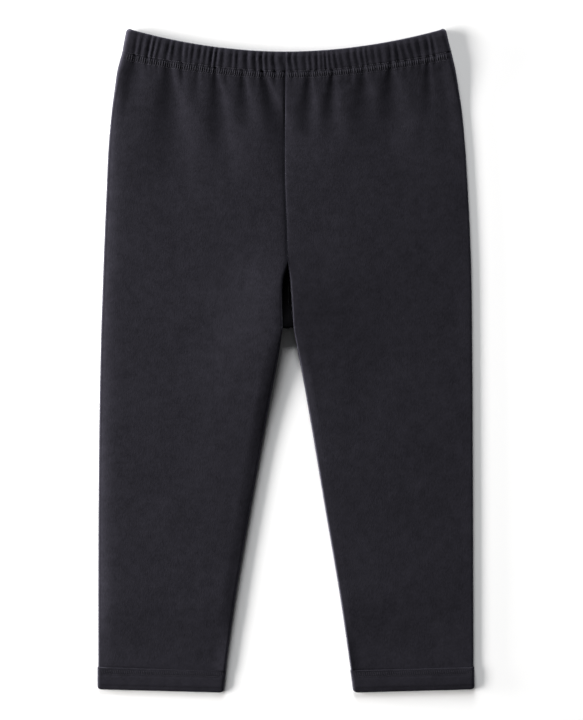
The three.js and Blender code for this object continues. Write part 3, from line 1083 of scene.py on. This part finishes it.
def shell_mesh(
    name: str, outside: np.ndarray, inside: np.ndarray, materials: Sequence[bpy.types.Material]
) -> bpy.types.Object:
    """Closes an outer and an inner grid into one cloth wall.

    Args:
        name: The object's name.
        outside: Grid of the outer face.
        inside: Grid of the inner face, with as many points.
        materials: The face side's material and the wrong side's near-black painted-shade material.

    Returns:
        The object. The wrong side's painted-shade material is on the inner face alone.
    """
    rows, columns = outside.shape[:2]
    count = rows * columns
    points = np.concatenate((outside.reshape(-1, 3), inside.reshape(-1, 3)))
    outer = grid_faces(rows, columns, False, False)
    inner = outer[:, ::-1] + count
    number = np.arange(count).reshape(rows, columns)
    rims = []
    for edge in (number[0, ::-1], number[:, 0], number[-1], number[::-1, -1]):
        rims.append(np.stack((edge[:-1], edge[1:], edge[1:] + count, edge[:-1] + count), axis=-1))
    rim = np.concatenate(rims)[:, ::-1]
    index = np.concatenate((np.zeros(len(outer)), np.ones(len(inner)), np.zeros(len(rim))))
    return make_mesh(name, points, outward(points, np.concatenate((outer, inner, rim))), materials, index)


class Threads:
    """Sewing threads laid on the cloth as short round tubes, joined into one mesh."""

    SIDES = 6
    NARROWEST = 0.05

    def __init__(self) -> None:
        """Starts with no thread."""
        self._points: list[np.ndarray] = []
        self._faces: list[np.ndarray] = []
        self._count = 0

    def lay(self, paths: np.ndarray, radius: float) -> None:
        """Adds tubes along paths, with two faces over each end.

        Args:
            paths: Points by thread, step and coordinate.
            radius: Radius of the thread, which narrows at each end as the root of 1 less the sixth
                power of the distance from the middle.
        """
        threads, steps = paths.shape[:2]
        along = np.gradient(paths, axis=1)
        along /= np.maximum(np.linalg.norm(along, axis=-1, keepdims=True), 1e-9)
        across = np.cross(along, np.array([0.0, 0.0, 1.0]))
        across /= np.maximum(np.linalg.norm(across, axis=-1, keepdims=True), 1e-9)
        above = np.cross(across, along)
        angle = np.linspace(0, 2 * math.pi, self.SIDES, endpoint=False)[:, None]
        from_middle = np.linspace(-0.96, 0.96, steps)
        taper = np.sqrt(np.clip(1 - from_middle**6, self.NARROWEST, 1)) * radius
        ring = across[:, :, None] * np.cos(angle) + above[:, :, None] * np.sin(angle)
        points = paths[:, :, None] + ring * taper[None, :, None, None]
        start = self._count + np.arange(threads)[:, None, None] * steps * self.SIDES
        fan = np.array([[0, 1, 2, 3], [0, 3, 4, 5]])
        last = fan[:, ::-1] + (steps - 1) * self.SIDES
        faces = np.concatenate((grid_faces(steps, self.SIDES, False, True), fan, last))
        self._faces.append((faces[None] + start).reshape(-1, 4))
        self._points.append(points.reshape(-1, 3))
        self._count += threads * steps * self.SIDES

    def mesh(self, name: str, material: bpy.types.Material) -> bpy.types.Object:
        """Joins the threads into one object of a name and a material."""
        return make_mesh(name, np.concatenate(self._points), np.concatenate(self._faces), [material])


@dataclass
class Coverstitch:
    """A row of needle stitches, a second row beside it and the loops between them.

    The two rows are thinner than the loops by their shares. A needle stitch covers a share of the pitch.
    The loops start a little beside the first row, end short of the second and slant along the line.
    """

    threads: Threads
    seed: int
    pitch: float = 1.4
    needle_length: float = 0.8
    first_row: float = 0.9
    second_row: float = 0.75
    loop_start: float = 0.9
    loop_short: float = 1.4
    loop_slant: float = 0.45

    def __post_init__(self) -> None:
        """Starts the random unevenness of the stitches."""
        self._rng = np.random.default_rng(self.seed)

    def sew(self, length: float, surface: Surface, out: float, gauge: float, thread: float) -> None:
        """Sews along a line of the cloth.

        Args:
            length: Length of the line.
            surface: Gives points of the cloth for arrays of distance along the line and beside it.
            out: Direction out of the cloth along Z, and how strongly the threads arch out of it.
            gauge: Distance between the two needle rows.
            thread: Radius of the thread. Each stitch is a parabola that arches out of the cloth by
                about half of it, and each loop by nearly all of it.
        """
        count = int(length / self.pitch)
        start = (np.arange(count)[:, None] + 0.5) * length / count
        uneven = self._rng.normal(0, 1, (count, 3))
        lift = np.array([0.0, 0.0, out]) * thread
        step = np.linspace(-0.5, 0.5, 5)[None, :]
        arch = (1 - (2 * step) ** 2)[..., None]
        for beside, size in ((0.0, self.first_row), (gauge, self.second_row)):
            s = start + step * self.pitch * self.needle_length
            w = beside + 0.06 * uneven[:, :1] + 0 * s
            self.threads.lay(surface(s, w) + lift * (0.55 * arch + 0.15), thread * size)
        along = np.linspace(0, 1, 7)[None, :]
        arch = (1 - (2 * along - 1) ** 2)[..., None]
        s = start + 0.5 * self.pitch + self.loop_slant * (along - 0.5) + 0.08 * uneven[:, 1:2]
        w = self.loop_start + (gauge - self.loop_short + 0.15 * uneven[:, 2:3]) * along
        self.threads.lay(surface(s, w) + lift * (0.9 * arch + 0.35), thread)


class ClothShader:
    """Builds a procedural material from nodes."""

    # Cap on how far the painted sheen lightens the base colour.
    NAP_LIMIT = 2.2

    def __init__(self, name: str, colour: Colour) -> None:
        """Starts a material.

        Args:
            name: Its name.
            colour: Linear base colour.
        """
        self.material = bpy.data.materials.new(name)
        self.material.use_nodes = True
        self.colour = colour
        self._nodes = self.material.node_tree.nodes
        self._links = self.material.node_tree.links
        self._shader = self._nodes["Principled BSDF"]
        self._where = self._nodes.new("ShaderNodeTexCoord")

    def noise(self, scale: float, detail: float, stretch: Triple = (1, 1, 1)) -> Socket:
        """Adds a noise texture read in the piece's own coordinates.

        Args:
            scale: Features to a metre.
            detail: Levels of finer noise.
            stretch: Scale along each axis.

        Returns:
            The noise's value socket.
        """
        mapping = self._nodes.new("ShaderNodeMapping")
        mapping.inputs["Scale"].default_value = stretch
        texture = self._nodes.new("ShaderNodeTexNoise")
        texture.inputs["Scale"].default_value = scale
        texture.inputs["Detail"].default_value = detail
        self._links.new(self._where.outputs["Object"], mapping.inputs["Vector"])
        self._links.new(mapping.outputs["Vector"], texture.inputs["Vector"])
        return texture.outputs["Fac"]

    def math(self, operation: str, a: Socket | float, b: Socket | float) -> Socket:
        """Adds a Math node.

        Args:
            operation: What it does.
            a: First socket or number.
            b: Second socket or number.

        Returns:
            The result's socket.
        """
        node = self._nodes.new("ShaderNodeMath")
        node.operation = operation
        for socket, value in zip(node.inputs, (a, b)):
            if isinstance(value, (int, float)):
                socket.default_value = value
            else:
                self._links.new(value, socket)
        return node.outputs[0]

    def tones(self, parts: Sequence[tuple[Socket, float]], nap: float = 0.0) -> None:
        """Varies the base colour.

        Args:
            parts: Noise sockets, each with how strongly it changes the brightness. The brightness is 1
                plus the sum of each noise less a half, times its strength.
            nap: Painted sheen: how much the base colour is lightened where the cloth is seen edge on, in
                place of
            the sheen of its brushed fibres. The brightness is multiplied by 1 plus nap times the square of
            how edge on it is, up to a limit.
        """
        total = 1.0
        for socket, strength in parts:
            swing = self.math("MULTIPLY", self.math("SUBTRACT", socket, 0.5), strength)
            total = self.math("ADD", swing, total)
        # Painted sheen: the base colour is lightened where the surface is seen edge on.
        if nap:
            weight = self._nodes.new("ShaderNodeLayerWeight")
            weight.inputs["Blend"].default_value = 0.5
            edge_on = self.math("POWER", weight.outputs["Facing"], 2.0)
            sheen = self.math("MINIMUM", self.math("MULTIPLY", edge_on, nap), self.NAP_LIMIT)
            total = self.math("MULTIPLY", self.math("ADD", sheen, 1.0), total)
        scale = self._nodes.new("ShaderNodeVectorMath")
        scale.operation = "SCALE"
        scale.inputs[0].default_value = self.colour
        self._links.new(total, scale.inputs["Scale"])
        self._links.new(scale.outputs[0], self._shader.inputs["Base Color"])

    def bump(self, socket: Socket, distance: float, strength: float) -> None:
        """Raises the surface by a texture.

        Args:
            socket: The height.
            distance: Height of the relief, in metres.
            strength: How much of it shows.
        """
        node = self._nodes.new("ShaderNodeBump")
        node.inputs["Distance"].default_value = distance
        node.inputs["Strength"].default_value = strength
        self._links.new(socket, node.inputs["Height"])
        self._links.new(node.outputs["Normal"], self._shader.inputs["Normal"])

    def set(self, **values: float | tuple[float, ...]) -> None:
        """Sets the shader's inputs, which are named with underscores for spaces."""
        for name, value in values.items():
            self._shader.inputs[name.replace("_", " ")].default_value = value


@dataclass(frozen=True)
class Jersey:
    """Brushed stretch jersey: a matt brushed face, finely mottled, over fine wales along the leg, with
    painted sheen.
    """

    name: str
    colour: Colour
    nap: float
    blotch: float = 0.34
    cloud: float = 0.64
    fleck: float = 0.62
    wale: float = 0.35
    relief: float = 0.00022

    def material(self) -> bpy.types.Material:
        """Makes the cloth's material.

        Returns:
            A material with four noises from broad to fine, the last two of which raise its surface.
        """
        shader = ClothShader(self.name, self.colour)
        blotch = shader.noise(45, 3)
        cloud = shader.noise(170, 3)
        fleck = shader.noise(750, 2, (1.0, 0.8, 1.0))
        wale = shader.noise(1500, 2, (1.0, 0.35, 1.0))
        parts = ((blotch, self.blotch), (cloud, self.cloud), (fleck, self.fleck), (wale, self.wale))
        # Painted sheen on the face: the base colour is lightened where the cloth is seen edge on.
        shader.tones(parts, self.nap)
        shader.bump(shader.math("ADD", shader.math("MULTIPLY", fleck, 0.6), wale), self.relief, 0.5)
        shader.set(Roughness=1.0, Specular_IOR_Level=0.04)
        shader.set(Sheen_Weight=0.06, Sheen_Roughness=0.4, Sheen_Tint=(0.84, 0.84, 1.0, 1.0))
        return shader.material


@dataclass(frozen=True)
class SewingThread:
    """Spun sewing thread with a soft lustre and fine twist."""

    name: str
    colour: Colour
    twist: float = 0.5
    relief: float = 0.00005

    def material(self) -> bpy.types.Material:
        """Makes the thread's material.

        Returns:
            A material with one fine noise for its tone and its twist.
        """
        shader = ClothShader(self.name, self.colour)
        twist = shader.noise(2600, 1)
        shader.tones(((twist, self.twist),))
        shader.bump(twist, self.relief, 0.4)
        shader.set(Roughness=0.8, Specular_IOR_Level=0.1)
        shader.set(Sheen_Weight=0.05, Sheen_Roughness=0.5, Sheen_Tint=(0.85, 0.85, 1.0, 1.0))
        return shader.material


# The face's colour gets a painted sheen where it is seen edge on.
FACE = Jersey("jersey_face", (0.0132, 0.0126, 0.0165), nap=11.0)
# The wrong side's near-black colour is painted shade for the deep valley at the crotch, where the inner face
# shows.
SHADED_WRONG_SIDE = Jersey("jersey_inside", (0.0016, 0.0015, 0.0019), nap=0.0)
THREAD = SewingThread("thread", (0.029, 0.028, 0.035))


@dataclass(frozen=True)
class Leggings:
    """The garment: its cloth pieces and its stitching.

    Cuts are flat sizes in metres, which are not used, and the rest is in millimetres. The threads stand out
    of the back by the share back_lift, downwards.
    """

    leg_cut: tuple[float, float] = (0.242, 0.400)
    leg_area: float = 0.0862
    casing_cut: tuple[float, float] = (0.500, 0.0150)
    hem_cut: tuple[float, float] = (0.168, 0.0155)
    casing_wall: float = 2.6
    casing_height: float = 8.0
    hem_wall: float = 1.9
    thread: float = 0.18
    hem_thread: float = 0.0828
    back_lift: float = -0.4
    hem_gauge: float = 3.8

    def build(self) -> None:
        """Builds each piece and hides the solid that it replaces, logging the piece's number of faces."""
        face, shaded_wrong_side, thread = FACE.material(), SHADED_WRONG_SIDE.material(), THREAD.material()
        legs = [Leg(side) for side in Side]
        hems = [self.hem(side) for side in Side]
        for leg in legs:
            piece = leg.piece(face, shaded_wrong_side)
            self.adopt(piece, f"leg_{leg.side.word}")
        piece = self.casing().piece("waist_casing", face)
        self.adopt(piece, "waistband")
        for hem in hems:
            piece = hem.piece(f"ankle_hem_{hem.side.word}", face)
            self.adopt(piece, f"hem_{hem.side.word}")
        self.adopt(self.stitching(legs, hems, thread))

    def casing(self) -> Casing:
        """The waist casing's form."""
        return Casing(
            STITCH_LINE, TOP_EDGE, self.casing_wall, self.casing_height, spacing=0.5, line_pinch=0.1,
            edge_pinch=0.08, corner=1.2, first_step=0.0, front_drop=0.55,
        )

    def hem(self, side: Side) -> Hem:
        """The form of one side's ankle hem."""
        return Hem(
            HEM_LINE, HEM_EDGE, self.hem_wall, HEM_HEIGHT, spacing=1.0, line_pinch=0.0,
            edge_pinch=0.40, corner=2.2, first_step=0.004, front_drop=0.0, side=side,
        )

    def stitching(
        self, legs: Sequence[Leg], hems: Sequence[Hem], material: bpy.types.Material
    ) -> bpy.types.Object:
        """Sews the casing and the hems, front and back.

        Args:
            legs: The forms of the two legs.
            hems: The forms of the two hems.
            material: The thread's material.

        Returns:
            All the threads as one object.
        """
        threads = Threads()
        cover = Coverstitch(threads, seed=5)
        sizes = ((STITCH_GAUGE, self.thread), (self.hem_gauge, self.hem_thread))
        for pair in zip(legs, hems):
            for form, (gauge, thread) in zip(pair, sizes):
                cover.sew(form.stitch_length, form.stitch_front, 1.0, gauge, thread)
                cover.sew(form.stitch_length, form.stitch_back, self.back_lift, gauge, self.thread)
        return threads.mesh("stitching", material)

    @staticmethod
    def adopt(piece: bpy.types.Object, node: str | None = None) -> None:
        """Puts a piece on the garment's body.

        Args:
            piece: The piece.
            node: The solid it replaces, if any.
        """
        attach(piece, "root")
        if node:
            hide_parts(node)
        LOG.info("%s: %d faces", piece.name, len(piece.data.polygons))


@dataclass(frozen=True)
class SoftBox:
    """A rectangular soft light that faces the middle of the garment, in mm and watts."""

    name: str
    place: Triple
    size: tuple[float, float]
    power: float
    colour: Colour

    def hang(self) -> None:
        """Hangs the light where it stands, turned to the origin."""
        data = bpy.data.lights.new(self.name, "AREA")
        data.shape = "RECTANGLE"
        data.size, data.size_y = self.size[0] * MM, self.size[1] * MM
        data.energy = self.power
        data.color = self.colour
        light = bpy.data.objects.new(self.name, data)
        bpy.context.scene.collection.objects.link(light)
        where = np.array(self.place) * MM
        light.location = where
        light.rotation_euler = Vector(-where).to_track_quat("-Z", "Y").to_euler()


SOFT_BOXES = (
    SoftBox("key", (-1600, -70, 675), (1180, 470), 59.5, (1.0, 0.985, 0.97)),
    SoftBox("low", (-1500, 160, 160), (900, 160), 38.0, (1.0, 0.99, 0.98)),
    SoftBox("fill", (-1100, 7950, 2900), (3400, 4500), 1200.0, (0.98, 0.99, 1.0)),
)


@dataclass(frozen=True)
class Studio:
    """The white table, the soft light from the left and the waist's end, and the camera straight above.

    The picture's longer side takes in the length seen on the table, round the point aimed at.
    """

    lens: float = 100.0
    sensor: float = 36.0
    seen: float = 468.0
    aim: tuple[float, float] = (3.9, 0.65)
    half_table: float = 2500.0
    table_drop: float = 0.02
    table_white: float = 0.86
    sky: Colour = (0.97, 0.985, 1.0)
    sky_strength: float = 0.052

    def build(self) -> None:
        """Builds the table, the lights and the camera, and shows colours with no film curve."""
        settings = bpy.context.scene.view_settings
        settings.view_transform = "Standard"
        settings.look = "None"
        self._table()
        self._world()
        for box in SOFT_BOXES:
            box.hang()
        self._camera()

    def _table(self) -> None:
        """A matt white table, just under the garment."""
        half = self.half_table
        corner = np.array([[-half, -half], [half, -half], [half, half], [-half, half]])
        points = np.pad(corner, ((0, 0), (0, 1)), constant_values=-self.table_drop)
        material = bpy.data.materials.new("table_white")
        material.use_nodes = True
        shader = material.node_tree.nodes["Principled BSDF"]
        shader.inputs["Base Color"].default_value = (self.table_white,) * 3 + (1,)
        shader.inputs["Roughness"].default_value = 1.0
        shader.inputs["Specular IOR Level"].default_value = 0.0
        make_mesh("floor", points, np.array([[0, 1, 2, 3]]), [material])

    def _world(self) -> None:
        """Even light from all round."""
        world = bpy.data.worlds.new("studio")
        world.use_nodes = True
        background = world.node_tree.nodes["Background"]
        background.inputs["Color"].default_value = (*self.sky, 1)
        background.inputs["Strength"].default_value = self.sky_strength
        bpy.context.scene.world = world

    def _camera(self) -> None:
        """A long lens straight above, with the waist at the top of the picture."""
        data = bpy.data.cameras.new("camera")
        data.type = "PERSP"
        data.lens, data.sensor_width = self.lens, self.sensor
        data.sensor_fit = "AUTO"
        data.clip_start, data.clip_end = 0.01, 20
        camera = bpy.data.objects.new("camera", data)
        bpy.context.scene.collection.objects.link(camera)
        camera.location = (self.aim[0] * MM, self.aim[1] * MM, self.seen * self.lens / self.sensor * MM)
        camera.rotation_euler = (0, 0, 0)
        bpy.context.scene.camera = camera


def main() -> None:
    """Builds the scene."""
    logging.basicConfig(level=logging.INFO, format="%(name)s: %(message)s")
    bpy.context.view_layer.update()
    Leggings().build()
    Studio().build()


if __name__ == "__main__":
    main()
